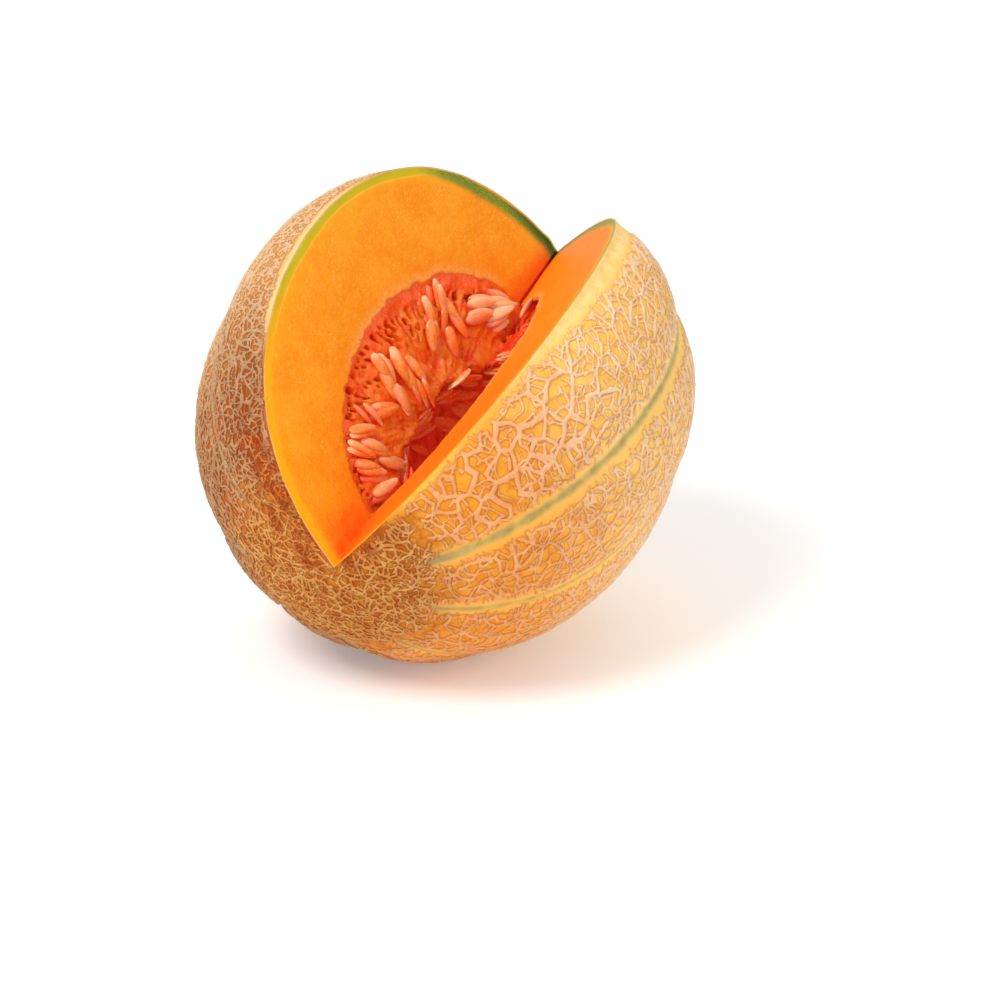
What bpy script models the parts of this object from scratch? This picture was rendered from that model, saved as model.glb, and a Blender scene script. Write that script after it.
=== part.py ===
"""A netted muskmelon at rest with one wedge cut out of it, down to the seeds.

Two solids: the fruit (rind and flesh, which grew as one) and the seed pulp in its cavity.
Metres, +Z up. The origin is under the middle of the fruit, on the surface that it rests on.

The fruit has a frame of its own: its local Z runs along the core from the stem end to the
blossom end, and an azimuth of 0 is the side of the core that faces up.
"""

import math
import random

import bmesh
import bpy
from mathutils import Matrix, Vector

# The fruit's outline, as the solid of a profile turned about the core
EQUATOR_RADIUS = 0.078
HALF_LENGTH = 0.085
STEM_END_LEAN = -0.037
END_FULLNESS = 0.083

# The fruit's pose: how far the blossom end dips, and where it points in plan
DIP = math.radians(19.65)
HEADING = math.radians(-117.34)
CENTRE = Vector((-0.00096, -0.00075, 0.0751))
GROUND_SIZE = 0.12
GROUND_DEPTH = 0.02

# Sutures, the furrows between the ribs, by azimuth
SUTURES = [math.radians(a) for a in (-152.6, -112.1, -79.2, -47.5, -8.6, 29.0, 58.4, 100.9, 136.4, 172.4)]
FURROW_DEPTH = 0.0029
FURROW_HALF_WIDTH = 0.0085
POLE_FADE = 0.45
STEM_SCAR_DEPTH = 0.0022
STEM_SCAR_RADIUS = 0.0085

# The raised net, larger than life so that a coarse mesh can hold it
NET_HEIGHT = 0.0011
NET_HALF_WIDTH = 0.0013
NET_CELL = 0.0106
SUTURE_CELL = 0.0115
SUTURE_FLANK = 0.0088
SUTURE_ROW_END = 0.90
SHORTEST_NET_EDGE = 0.0029
NET_CELL_RANGE = (0.72, 1.0)
NEAREST_SITE = 0.6 * SUTURE_FLANK
WIDEST_FLANK = math.radians(15)
POLE_RINGS = ((1, 0.988), (-1, 0.982))
POLE_CELLS = 6
DARTS = 9000

# The wedge that was cut out, between two planes that meet beside the core
CUT_LEFT = math.radians(33.0)
CUT_RIGHT = math.radians(-46.2)
CUT_MIDDLE = (CUT_LEFT + CUT_RIGHT) / 2
CUT_EDGE = Vector((0.00476, -0.00414, 0.0))
CUT_FACE_OUT = Vector((math.sin(CUT_LEFT), -math.cos(CUT_LEFT), 0.0))
CUT_REACH = 0.15

# The seed cavity, and the part of it that is empty
CAVITY_RADIUS = 0.0392
CAVITY_HALF_LENGTH = 0.0555
CAVITY_SHIFT = 0.0027
CAVITY_FACETS = (32, 18)
PULP_GAP = 0.0004
HOLLOW_SIDE = math.radians(234.4)
HOLLOW_OFFSET = 0.0195
HOLLOW_RADII = (0.0245, 0.0395, 0.042)
HOLLOW_SHIFT = 0.0095
HOLLOW_FACETS = (24, 14)

# Seeds, at their real size
SEED_LENGTH = 0.0108
SEED_WIDTH = 0.0050
SEED_THICKNESS = 0.0026
SEED_TAPER = 0.7
SEED_FACETS = (6, 4)
SEED_LIFT = 0.0006
SEED_STRAY = 0.45
SEED_PITCH = (-0.3, 0.2)
SEED_ROLL = 0.6
SEED_SPACING = 0.0052
SEED_MARGIN = 0.005
SEED_HOLLOW_SHARE = 1.04
SEED_TRIES = 400
WALL_SEED_SPACING = 0.0075
WALL_SEED_MARGIN = 0.0075
WALL_SEED_CLEARANCE = math.radians(12)
WALL_SEED_END = 0.93
WALL_SEED_TRIES = 500

# Groups of seeds on the pulp's cut face: how far along the core, how far out, how wide, how many
SEED_GROUPS = (
    (0.0445, 0.0105, 0.0095, 12),
    (0.0290, 0.0170, 0.0040, 2),
    (0.0110, 0.0170, 0.0085, 7),
    (-0.0190, 0.0190, 0.0085, 8),
    (-0.0410, 0.0100, 0.0070, 4),
)

# Pits between the pulp's strands, in a band beside the flesh
PIT_RADII = (0.0022, 0.0012, 0.0020)
PIT_INSET = (0.0026, 0.0072)
PIT_SPAN = (-0.42 * math.pi, 0.46 * math.pi)
PIT_SPACING = 0.0042
PIT_TO_SEED = 0.005
PIT_FACETS = (6, 4)
PIT_TRIES = 900

RIND = ("melon_rind", (0.80, 0.58, 0.33), 0.75)
PULP = ("seed_pulp", (0.86, 0.22, 0.04), 0.35)


def clear_scene():
    for obj in list(bpy.data.objects):
        bpy.data.objects.remove(obj, do_unlink=True)


def collection_named(name):
    made = bpy.data.collections.new(name)
    bpy.context.scene.collection.children.link(made)
    return made


def material_of(name, colour, roughness):
    made = bpy.data.materials.new(name)
    made.use_nodes = True
    shader = made.node_tree.nodes["Principled BSDF"]
    shader.inputs["Base Color"].default_value = (*colour, 1.0)
    shader.inputs["Roughness"].default_value = roughness
    shader.inputs["Metallic"].default_value = 0.0
    made.diffuse_color = (*colour, 1.0)
    return made


def fruit_to_world():
    """The fruit's own frame in the world: columns for azimuth 0, azimuth 90 and the blossom end."""
    core = Vector((math.cos(DIP) * math.cos(HEADING), math.cos(DIP) * math.sin(HEADING), -math.sin(DIP)))
    up = Vector((0.0, 0.0, 1.0))
    side = (up - core * up.dot(core)).normalized()
    turn = Matrix((side, core.cross(side), core)).transposed().to_4x4()
    return Matrix.Translation(CENTRE) @ turn


def angle_between(a, b):
    return (a - b + math.pi) % (2 * math.pi) - math.pi


def smooth_share(x):
    x = min(max(x, 0.0), 1.0)
    return x * x * (3 - 2 * x)


def furrow(azimuth, ring):
    """How far a suture lowers the surface, where ring is the distance from the core over the equator's."""
    depth = 0.0
    for suture in SUTURES:
        off = abs(angle_between(azimuth, suture)) * ring * EQUATOR_RADIUS
        depth = max(depth, math.exp(-((off / FURROW_HALF_WIDTH) ** 1.3)))
    return FURROW_DEPTH * depth * smooth_share(ring / POLE_FADE)


def skin_point(direction, lift=0.0):
    """The point of the skin that a unit direction of the fruit's own frame stands for, raised by lift."""
    t = direction.z
    ring = math.hypot(direction.x, direction.y)
    full = 1 + STEM_END_LEAN * t + END_FULLNESS * t * t
    radius = EQUATOR_RADIUS * full - furrow(math.atan2(direction.y, direction.x), ring)
    scar = STEM_SCAR_DEPTH * math.exp(-((ring * EQUATOR_RADIUS / STEM_SCAR_RADIUS) ** 2)) if t < 0 else 0.0
    point = Vector((radius * direction.x, radius * direction.y, HALF_LENGTH * t + scar))
    outward = Vector((point.x, point.y, point.z * (EQUATOR_RADIUS / HALF_LENGTH) ** 2)).normalized()
    return point + outward * lift


def direction_at(azimuth, t):
    ring = math.sqrt(max(1 - t * t, 0.0))
    return Vector((ring * math.cos(azimuth), ring * math.sin(azimuth), t))


def suture_sites():
    """Cell centres on each suture, and the flanking ones that keep its furrow straight."""
    rows = []
    flanks = []
    turns = math.asin(SUTURE_ROW_END)
    count = int(2 * turns * HALF_LENGTH / SUTURE_CELL)
    for number, suture in enumerate(SUTURES):
        for step in range(count + 1):
            t = math.sin(-turns + 2 * turns * step / count)
            centre = direction_at(suture, t)
            ring = math.hypot(centre.x, centre.y) * EQUATOR_RADIUS
            rows.append((centre, number))
            aside = SUTURE_FLANK / ring
            if aside < WIDEST_FLANK:
                flanks += [direction_at(suture - aside, t), direction_at(suture + aside, t)]
    return rows, flanks


def pole_sites():
    """The scar at each end: one cell, ringed by small ones."""
    sites = []
    for end, ring_t in POLE_RINGS:
        sites.append(Vector((0.0, 0.0, float(end))))
        for step in range(POLE_CELLS):
            sites.append(direction_at(math.tau * (step + 0.5) / POLE_CELLS, end * ring_t))
    return sites


def net_sites():
    """Centres of the net's cells as unit directions, and the suture that each lies on or -1."""
    draw = random.Random(11)
    rows, flanks = suture_sites()
    sites = [site for site, _ in rows]
    owner = [number for _, number in rows]
    for site in flanks + pole_sites():
        if all((skin_point(site) - skin_point(other)).length > NEAREST_SITE for other in sites):
            sites.append(site)
            owner.append(-1)
    places = [skin_point(site) for site in sites]
    for _ in range(DARTS):
        site = direction_at(draw.uniform(-math.pi, math.pi), draw.uniform(-1, 1))
        place = skin_point(site)
        nearest = NET_CELL * draw.uniform(*NET_CELL_RANGE)
        if all((place - other).length_squared > nearest * nearest for other in places):
            sites.append(site)
            owner.append(-1)
            places.append(place)
    return sites, owner


def cells_around(sites):
    """The net's polygons on a unit sphere, one to a site: each corner is the middle of three sites."""
    hull = bmesh.new()
    corners = [hull.verts.new(site) for site in sites]
    bmesh.ops.convex_hull(hull, input=corners)
    hull.faces.ensure_lookup_table()
    hull.faces.index_update()
    hull.normal_update()
    points = []
    for face in hull.faces:
        outward = face.normal.copy()
        points.append(outward if outward.dot(face.calc_center_median()) > 0 else -outward)
    rings = []
    for corner, site in zip(corners, sites):
        side = site.orthogonal().normalized()
        ahead = site.cross(side)
        around = [face.index for face in corner.link_faces]
        around.sort(key=lambda i: math.atan2(points[i].dot(ahead), points[i].dot(side)))
        rings.append(around)
    hull.free()
    return points, rings


def netted_ball():
    """A ball of the equator's radius with the net's lines at that radius and its cells sunk between them."""
    sites, owner = net_sites()
    points, rings = cells_around(sites)
    ball = bmesh.new()
    verts = [ball.verts.new(point * EQUATOR_RADIUS) for point in points]
    owned = ball.faces.layers.int.new("suture")
    for ring, number in zip(rings, owner):
        face = ball.faces.new([verts[i] for i in ring])
        face[owned] = number
    bmesh.ops.remove_doubles(ball, verts=ball.verts, dist=SHORTEST_NET_EDGE)
    bmesh.ops.recalc_face_normals(ball, faces=ball.faces)
    across = []
    for edge in ball.edges:
        beside = [face[owned] for face in edge.link_faces]
        if len(beside) == 2 and beside[0] == beside[1] and beside[0] >= 0:
            across.append(edge)
    cut = bmesh.ops.subdivide_edges(ball, edges=across, cuts=1)
    sunk = [item for item in cut["geom_inner"] if isinstance(item, bmesh.types.BMVert)]
    bmesh.ops.inset_individual(
        ball, faces=list(ball.faces), thickness=NET_HALF_WIDTH, depth=-NET_HEIGHT, use_even_offset=True
    )
    for vert in sunk:
        vert.co = vert.co.normalized() * (EQUATOR_RADIUS - NET_HEIGHT)
    return ball


def object_of(mesh_data, name, collection, material=None):
    mesh = bpy.data.meshes.new(name)
    mesh_data.to_mesh(mesh)
    mesh_data.free()
    if material:
        mesh.materials.append(material)
    obj = bpy.data.objects.new(name, mesh)
    collection.objects.link(obj)
    return obj


def whole_fruit(collection, material):
    """The uncut fruit in the world, with its net and furrows."""
    ball = netted_ball()
    to_world = fruit_to_world()
    for vert in ball.verts:
        lift = vert.co.length - EQUATOR_RADIUS
        vert.co = to_world @ skin_point(vert.co.normalized(), lift)
    bmesh.ops.triangulate(ball, faces=list(ball.faces))
    bmesh.ops.recalc_face_normals(ball, faces=ball.faces)
    return object_of(ball, "melon_body", collection, material)


def helper(mesh_data, name, collection):
    obj = object_of(mesh_data, name, collection)
    obj.hide_render = True
    obj.display_type = "WIRE"
    return obj


def ground_block(collection):
    """What the fruit's underside is flattened by: a block whose top is the surface that it rests on."""
    block = bmesh.new()
    bmesh.ops.create_cube(block, size=1.0)
    for vert in block.verts:
        vert.co = Vector((vert.co.x * GROUND_SIZE, vert.co.y * GROUND_SIZE, (vert.co.z - 0.5) * GROUND_DEPTH))
    return helper(block, "ground", collection)


def wedge_cutter(collection):
    """The wedge's prism: a four-cornered outline across the core, drawn out along it."""
    outline = [CUT_EDGE]
    for azimuth, reach in ((CUT_RIGHT, CUT_REACH), (CUT_MIDDLE, CUT_REACH * 1.2), (CUT_LEFT, CUT_REACH)):
        outline.append(CUT_EDGE + reach * Vector((math.cos(azimuth), math.sin(azimuth), 0.0)))
    prism = bmesh.new()
    floor = prism.faces.new([prism.verts.new(corner - Vector((0, 0, CUT_REACH))) for corner in outline])
    raised = bmesh.ops.extrude_face_region(prism, geom=[floor])
    tops = [item for item in raised["geom"] if isinstance(item, bmesh.types.BMVert)]
    bmesh.ops.translate(prism, verts=tops, vec=Vector((0, 0, 2 * CUT_REACH)))
    bmesh.ops.recalc_face_normals(prism, faces=prism.faces)
    prism.transform(fruit_to_world())
    return helper(prism, "wedge", collection)


def egg(radii, facets, shift=0.0):
    """An ellipsoid about the core, moved along it."""
    made = bmesh.new()
    bmesh.ops.create_uvsphere(made, u_segments=facets[0], v_segments=facets[1], radius=1.0)
    for vert in made.verts:
        vert.co = Vector((vert.co.x * radii[0], vert.co.y * radii[1], vert.co.z * radii[2] + shift))
    return made


def cavity_cutter(collection):
    made = egg((CAVITY_RADIUS, CAVITY_RADIUS, CAVITY_HALF_LENGTH), CAVITY_FACETS, CAVITY_SHIFT)
    made.transform(fruit_to_world())
    return helper(made, "cavity_former", collection)


def hollow_frame():
    aside = Vector((math.cos(HOLLOW_SIDE), math.sin(HOLLOW_SIDE), 0.0)) * HOLLOW_OFFSET
    return Matrix.Translation(aside) @ Matrix.Rotation(HOLLOW_SIDE, 4, "Z")


def hollow_cutter(collection):
    made = egg(HOLLOW_RADII, HOLLOW_FACETS, HOLLOW_SHIFT)
    made.transform(fruit_to_world() @ hollow_frame())
    return helper(made, "hollow_former", collection)


def boolean(obj, operation, other=None, collection=None, solver="EXACT"):
    """Applies one Boolean of an object, or of all in a collection, to obj."""
    modifier = obj.modifiers.new(operation.lower(), "BOOLEAN")
    modifier.operation = operation
    modifier.solver = solver
    if collection:
        modifier.operand_type = "COLLECTION"
        modifier.collection = collection
    else:
        modifier.object = other
    bpy.context.view_layer.update()
    graph = bpy.context.evaluated_depsgraph_get()
    made = bpy.data.meshes.new_from_object(obj.evaluated_get(graph))
    obj.modifiers.remove(modifier)
    obj.data = made


def seed_mesh():
    """One seed, lying along its own X with its broad face up: a lens, drawn to a point at one end."""
    made = bmesh.new()
    bmesh.ops.create_uvsphere(made, u_segments=SEED_FACETS[0], v_segments=SEED_FACETS[1], radius=0.5)
    bmesh.ops.rotate(made, verts=made.verts, matrix=Matrix.Rotation(math.pi / 2, 3, "Y"))
    for vert in made.verts:
        narrow = 1 - SEED_TAPER * max(vert.co.x, 0.0)
        vert.co = Vector((
            vert.co.x * SEED_LENGTH,
            vert.co.y * SEED_WIDTH * narrow,
            vert.co.z * SEED_THICKNESS * narrow,
        ))
    mesh = bpy.data.meshes.new("seed")
    made.to_mesh(mesh)
    made.free()
    return mesh


def in_cavity(point, margin):
    """True where a point of the fruit's own frame is inside the cavity by at least margin."""
    across = math.hypot(point.x, point.y) / (CAVITY_RADIUS - margin)
    along = (point.z - CAVITY_SHIFT) / (CAVITY_HALF_LENGTH - margin)
    return across * across + along * along < 1


def hollow_share(point):
    """Under 1 inside the empty part of the cavity, and over 1 in the pulp."""
    local = hollow_frame().inverted() @ point
    scaled = (local.x / HOLLOW_RADII[0], local.y / HOLLOW_RADII[1], (local.z - HOLLOW_SHIFT) / HOLLOW_RADII[2])
    return math.sqrt(sum(x * x for x in scaled))


def on_cut_face(out, along):
    """The place on the left cut that is that far out from its inner edge and that far along the core."""
    return CUT_EDGE + Vector((out * math.cos(CUT_LEFT), out * math.sin(CUT_LEFT), along))


def cut_face_seeds(draw, taken):
    """Places on the pulp's face in the left cut, group by group, and the way out of that face."""
    for along, out, spread, count in SEED_GROUPS:
        left = count
        for _ in range(SEED_TRIES):
            turn = draw.uniform(0, math.tau)
            reach = spread * math.sqrt(draw.random())
            place = on_cut_face(out + reach * math.sin(turn), along + reach * math.cos(turn))
            near = any((place - other).length < SEED_SPACING for other in taken)
            if left and not near and in_cavity(place, SEED_MARGIN) and hollow_share(place) > SEED_HOLLOW_SHARE:
                left -= 1
                taken.append(place)
                yield place, CUT_FACE_OUT


def hollow_wall_seeds(draw, taken):
    """Places on the pulp's face towards the empty part, and the way out of that face."""
    frame = hollow_frame()
    for _ in range(WALL_SEED_TRIES):
        spot = direction_at(draw.uniform(-math.pi, math.pi), draw.uniform(-WALL_SEED_END, WALL_SEED_END))
        place = frame @ Vector((
            spot.x * HOLLOW_RADII[0],
            spot.y * HOLLOW_RADII[1],
            spot.z * HOLLOW_RADII[2] + HOLLOW_SHIFT,
        ))
        azimuth = math.atan2(place.y - CUT_EDGE.y, place.x - CUT_EDGE.x)
        in_cut = abs(angle_between(azimuth, CUT_MIDDLE)) < CUT_LEFT - CUT_MIDDLE + WALL_SEED_CLEARANCE
        near = any((place - other).length < WALL_SEED_SPACING for other in taken)
        if in_cavity(place, WALL_SEED_MARGIN) and not in_cut and not near:
            normal = Vector((spot.x / HOLLOW_RADII[0], spot.y / HOLLOW_RADII[1], spot.z / HOLLOW_RADII[2]))
            taken.append(place)
            yield place, -(frame.to_3x3() @ normal).normalized()


def seed_places():
    """Every seed's place in the fruit's own frame, and the way out of the face that it lies on."""
    draw = random.Random(5)
    taken = []
    return [*cut_face_seeds(draw, taken), *hollow_wall_seeds(draw, taken)]


def seeds(collection):
    """Seeds lying half sunk in the pulp with their long axes towards the middle of the empty part."""
    draw = random.Random(8)
    mesh = seed_mesh()
    to_world = fruit_to_world()
    goal = hollow_frame() @ Vector((0.0, 0.0, HOLLOW_SHIFT))
    for place, outward in seed_places():
        inward = goal - place
        tangent = inward - outward * inward.dot(outward)
        if tangent.length < SEED_LENGTH:
            tangent = Vector((0.0, 0.0, 1.0)) - outward * outward.z
        tangent.normalize()
        tangent.rotate(Matrix.Rotation(draw.gauss(0.0, SEED_STRAY), 3, outward))
        tangent = (tangent + outward * draw.uniform(*SEED_PITCH)).normalized()
        across = outward.cross(tangent).normalized()
        across = (across + outward * draw.uniform(-SEED_ROLL, SEED_ROLL)).normalized()
        turn = Matrix((tangent, across, tangent.cross(across))).transposed().to_4x4()
        seed = bpy.data.objects.new("seed", mesh)
        seed.matrix_world = to_world @ Matrix.Translation(place + outward * SEED_LIFT) @ turn
        collection.objects.link(seed)


def pits(collection):
    """Pits in the pulp's cut face, in a band along the flesh, each longest away from the flesh."""
    draw = random.Random(3)
    to_world = fruit_to_world()
    seeded = [place for place, _ in seed_places()]
    cut_along = on_cut_face(1.0, 0.0) - CUT_EDGE
    taken = []
    for _ in range(PIT_TRIES):
        turn = draw.uniform(*PIT_SPAN)
        inset = draw.uniform(*PIT_INSET)
        along = CAVITY_SHIFT + (CAVITY_HALF_LENGTH - inset) * math.sin(turn)
        out = (CAVITY_RADIUS - inset) * math.cos(turn) - CUT_EDGE.dot(cut_along)
        place = on_cut_face(out, along)
        crowded = any((place - other).length < PIT_SPACING for other in taken)
        under_seed = any((place - other).length < PIT_TO_SEED for other in seeded)
        if crowded or under_seed or not in_cavity(place, PIT_INSET[0]):
            continue
        taken.append(place)
        inward = (on_cut_face(0.0, CAVITY_SHIFT) - place).normalized()
        turned = Matrix((inward, CUT_FACE_OUT.cross(inward), CUT_FACE_OUT)).transposed().to_4x4()
        made = egg(PIT_RADII, PIT_FACETS)
        made.transform(to_world @ Matrix.Translation(place) @ turned)
        helper(made, "pit", collection)


def seed_pulp(collection, cutters, wedge, material):
    """The pulp: the cavity's filling, less its empty part and the wedge, with the seeds fused to it."""
    radius = CAVITY_RADIUS - PULP_GAP
    made = egg((radius, radius, CAVITY_HALF_LENGTH - PULP_GAP), CAVITY_FACETS, CAVITY_SHIFT)
    made.transform(fruit_to_world())
    pulp = object_of(made, "seed_pulp", collection, material)
    boolean(pulp, "DIFFERENCE", hollow_cutter(cutters))
    boolean(pulp, "DIFFERENCE", wedge)
    for name, fill, operation in (("pits", pits, "DIFFERENCE"), ("loose_seeds", seeds, "UNION")):
        repeats = collection_named(name)
        fill(repeats)
        boolean(pulp, operation, collection=repeats, solver="MANIFOLD")
        for repeat in list(repeats.objects):
            bpy.data.objects.remove(repeat, do_unlink=True)
        bpy.data.collections.remove(repeats)
    return pulp


def main():
    clear_scene()
    parts = collection_named("muskmelon")
    cutters = collection_named("cutters")
    fruit = whole_fruit(parts, material_of(*RIND))
    wedge = wedge_cutter(cutters)
    for cutter in (ground_block(cutters), wedge, cavity_cutter(cutters)):
        boolean(fruit, "DIFFERENCE", cutter)
    seed_pulp(parts, cutters, wedge, material_of(*PULP))


main()
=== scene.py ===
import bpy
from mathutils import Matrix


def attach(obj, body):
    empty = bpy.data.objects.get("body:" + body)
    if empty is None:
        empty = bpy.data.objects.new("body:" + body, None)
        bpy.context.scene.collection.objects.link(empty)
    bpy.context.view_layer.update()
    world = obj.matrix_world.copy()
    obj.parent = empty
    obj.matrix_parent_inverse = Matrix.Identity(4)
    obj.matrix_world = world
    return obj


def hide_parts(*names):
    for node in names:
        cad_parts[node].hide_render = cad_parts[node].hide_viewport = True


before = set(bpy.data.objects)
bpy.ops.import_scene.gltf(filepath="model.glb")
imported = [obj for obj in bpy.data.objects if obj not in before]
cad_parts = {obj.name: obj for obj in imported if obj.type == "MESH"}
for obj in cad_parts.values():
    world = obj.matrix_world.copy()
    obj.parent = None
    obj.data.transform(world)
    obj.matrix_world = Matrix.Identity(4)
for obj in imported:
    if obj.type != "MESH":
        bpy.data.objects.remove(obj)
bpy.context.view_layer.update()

import math
import random

import bpy
import numpy as np
from mathutils import Matrix, Vector
from mathutils.kdtree import KDTree

MM = 0.001

# The fruit's form and pose, in millimetres and radians, as in the part's source
EQUATOR = 78.0
HALF_LENGTH = 85.0
STEM_END_LEAN = -0.037
END_FULLNESS = 0.083
DIP = math.radians(19.65)
HEADING = math.radians(-117.34)
CENTRE = np.array((-0.96, -0.75, 75.1))
SUTURES = np.radians((-152.6, -112.1, -79.2, -47.5, -8.6, 29.0, 58.4, 100.9, 136.4, 172.4))
FURROW_DEPTH = 2.9
FURROW_HALF_WIDTH = 8.5
POLE_FADE = 0.45
CUT_LEFT = math.radians(33.0)
CUT_RIGHT = math.radians(-46.2)
CUT_EDGE = np.array((4.76, -4.14, 0.0))
CAVITY_RADIUS = 39.2
CAVITY_HALF_LENGTH = 55.5
CAVITY_SHIFT = 2.7
CAVITY_RADII = np.array((CAVITY_RADIUS, CAVITY_RADIUS, CAVITY_HALF_LENGTH))
HOLLOW_SIDE = math.radians(234.4)
HOLLOW_OFFSET = 19.5
HOLLOW_RADII = np.array((24.5, 39.5, 42.0))
HOLLOW_SHIFT = 9.5
# How far the pulp stays back from the right cut, which shows a clean edge of flesh
RIGHT_SET_BACK = 3.2

# Where both the rind and the flesh are drawn from: the point of the cut's edge beside the cavity's middle
HUB = CUT_EDGE + np.array((0.0, 0.0, CAVITY_SHIFT))
LEFT_OUT = np.array((math.sin(CUT_LEFT), -math.cos(CUT_LEFT), 0.0))
RIGHT_OUT = np.array((-math.sin(CUT_RIGHT), math.cos(CUT_RIGHT), 0.0))

# The net: the grid's step, the height of its lines, and a mean radius for arcs along the skin
RIND_STEP = 0.485
NET_RAISE = 0.72
MEAN_RADIUS = 82.0
# Cell sizes of the main and the fine net: wide on the yellow side, closer on the tan side
WIDE_CELLS = (7.4, 3.5)
CLOSE_CELLS = (4.9, 2.55)
# The share of the main net's lines left out, and the pitch and half width of the spurs beside bare bands
FEW_MISSING = 0.05
TOOTH_PITCH = 2.1
TOOTH_HALF_WIDTH = 0.38
# The inside value of a point that is far from any line
FAR_OUTSIDE = -9.0
# The suture along the left cut shows only towards the stem end, and the one along the right cut nowhere
HALF_HIDDEN_SUTURE = 5
HIDDEN_SUTURE = 3
OUT_OF_REACH = 30.0
# The one suture with a broad bare band, which lies on one side of it
BROAD_SUTURE = 2

# Grid steps in millimetres, and the seeds' half sizes: long, wide, thick
WALL_STEP = 1.3
PULP_STEP = 0.58
SEED_HALF_SIZE = np.array((5.3, 2.1, 1.05))

# The camera, in millimetres and in pixels of the picture, and the place of the fruit's middle in it
PICTURE_SIDE = 1000
FOCAL_PIXELS = 3336.908
MIDDLE_ACROSS = 444.171
MIDDLE_DOWN = 409.336
CAMERA_DISTANCE = 1073.8
CAMERA_ELEVATION = math.radians(20.0)


def pose_matrix():
    core = Vector((math.cos(DIP) * math.cos(HEADING), math.cos(DIP) * math.sin(HEADING), -math.sin(DIP)))
    up = Vector((0.0, 0.0, 1.0))
    side = (up - core * up.dot(core)).normalized()
    return np.array(Matrix((side, core.cross(side), core)).transposed())


TURN = pose_matrix()


def to_world(points):
    """Points of the fruit's own frame in mm, in the world in metres."""
    return (points @ TURN.T + CENTRE) * MM


def smooth(x, low, high):
    x = np.clip((x - low) / (high - low), 0.0, 1.0)
    return x * x * (3 - 2 * x)


def unit(vectors):
    return vectors / (np.linalg.norm(vectors, axis=1, keepdims=True) + 1e-12)


LATTICE = np.random.default_rng(20).uniform(-1.0, 1.0, (64, 64, 64)).astype(np.float32)


def noise(points, size, seed=0.0):
    """Smooth random values from -1 to 1 with bumps about that size."""
    p = points / size + seed * 7.31
    base = np.floor(p).astype(np.int64)
    f = (p - base).astype(np.float32)
    f = f * f * f * (f * (f * 6 - 15) + 10)
    base &= 63
    upper = (base + 1) & 63
    x0, y0, z0 = base[..., 0], base[..., 1], base[..., 2]
    x1, y1, z1 = upper[..., 0], upper[..., 1], upper[..., 2]
    fx, fy, fz = f[..., 0], f[..., 1], f[..., 2]
    a = LATTICE[x0, y0, z0] * (1 - fx) + LATTICE[x1, y0, z0] * fx
    b = LATTICE[x0, y1, z0] * (1 - fx) + LATTICE[x1, y1, z0] * fx
    c = LATTICE[x0, y0, z1] * (1 - fx) + LATTICE[x1, y0, z1] * fx
    d = LATTICE[x0, y1, z1] * (1 - fx) + LATTICE[x1, y1, z1] * fx
    return (a * (1 - fy) + b * fy) * (1 - fz) + (c * (1 - fy) + d * fy) * fz


def suture_distance(points):
    """Millimetres round the fruit to the nearest suture, and a number for that suture's side."""
    azimuth = np.arctan2(points[:, 1], points[:, 0])
    ring = np.hypot(points[:, 0], points[:, 1])
    off = (azimuth[:, None] - SUTURES + math.pi) % (2 * math.pi) - math.pi
    away = np.abs(off) * ring[:, None]
    away[:, HALF_HIDDEN_SUTURE] += OUT_OF_REACH * smooth(points[:, 2], -30.0, 0.0)
    away[:, HIDDEN_SUTURE] += OUT_OF_REACH
    # Near the blossom end the sutures fade out
    away += (12 * smooth(points[:, 2], 76.0, 83.0))[:, None]
    nearest = away.argmin(axis=1)
    rows = np.arange(len(points))
    return away[rows, nearest], nearest * 2 + (off[rows, nearest] > 0)


def section_radius(points):
    """The ribbed fruit's radius about its core at each point's azimuth and place along the core."""
    t = np.clip(points[:, 2] / HALF_LENGTH, -1.0, 1.0)
    ring = np.sqrt(1 - t * t)
    azimuth = np.arctan2(points[:, 1], points[:, 0])
    off = np.abs((azimuth[:, None] - SUTURES + math.pi) % (2 * math.pi) - math.pi).min(axis=1)
    depth = np.exp(-((off * ring * EQUATOR / FURROW_HALF_WIDTH) ** 1.3))
    furrow = FURROW_DEPTH * depth * smooth(ring, 0.0, POLE_FADE)
    return ring * (EQUATOR * (1 + STEM_END_LEAN * t + END_FULLNESS * t * t) - furrow)


def skin_from_hub(directions):
    """Where rays from the hub leave the fruit."""
    low = np.full(len(directions), 5.0)
    high = np.full(len(directions), 120.0)
    for _ in range(26):
        middle = (low + high) / 2
        p = HUB + directions * middle[:, None]
        inside = (np.hypot(p[:, 0], p[:, 1]) < section_radius(p)) & (np.abs(p[:, 2]) < HALF_LENGTH)
        low = np.where(inside, middle, low)
        high = np.where(inside, high, middle)
    return HUB + directions * low[:, None]


def skin_normals(points):
    n = points * np.array((1.0, 1.0, (EQUATOR / HALF_LENGTH) ** 2))
    return n / np.linalg.norm(n, axis=1, keepdims=True)


def cavity_from_hub(directions):
    """Where rays from the hub meet the seed cavity's wall."""
    start = CUT_EDGE / CAVITY_RADII
    d = directions / CAVITY_RADII
    a = (d * d).sum(axis=1)
    b = (d * start).sum(axis=1)
    c = (start * start).sum() - 1
    return HUB + directions * ((-b + np.sqrt(b * b - a * c)) / a)[:, None]


def hub_directions(psi, phi):
    return np.stack((np.cos(phi) * np.cos(psi), np.cos(phi) * np.sin(psi), np.sin(phi)), axis=-1)


def behind_cut(points, turn, away):
    """How far behind a cut face points are, in mm, or 200 where they are round the other side."""
    p = points - CUT_EDGE
    depth = -p @ away
    out = p @ np.array((math.cos(turn), math.sin(turn), 0.0))
    return np.where((out > 0) & (depth > -1.0), depth, 200.0)


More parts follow.
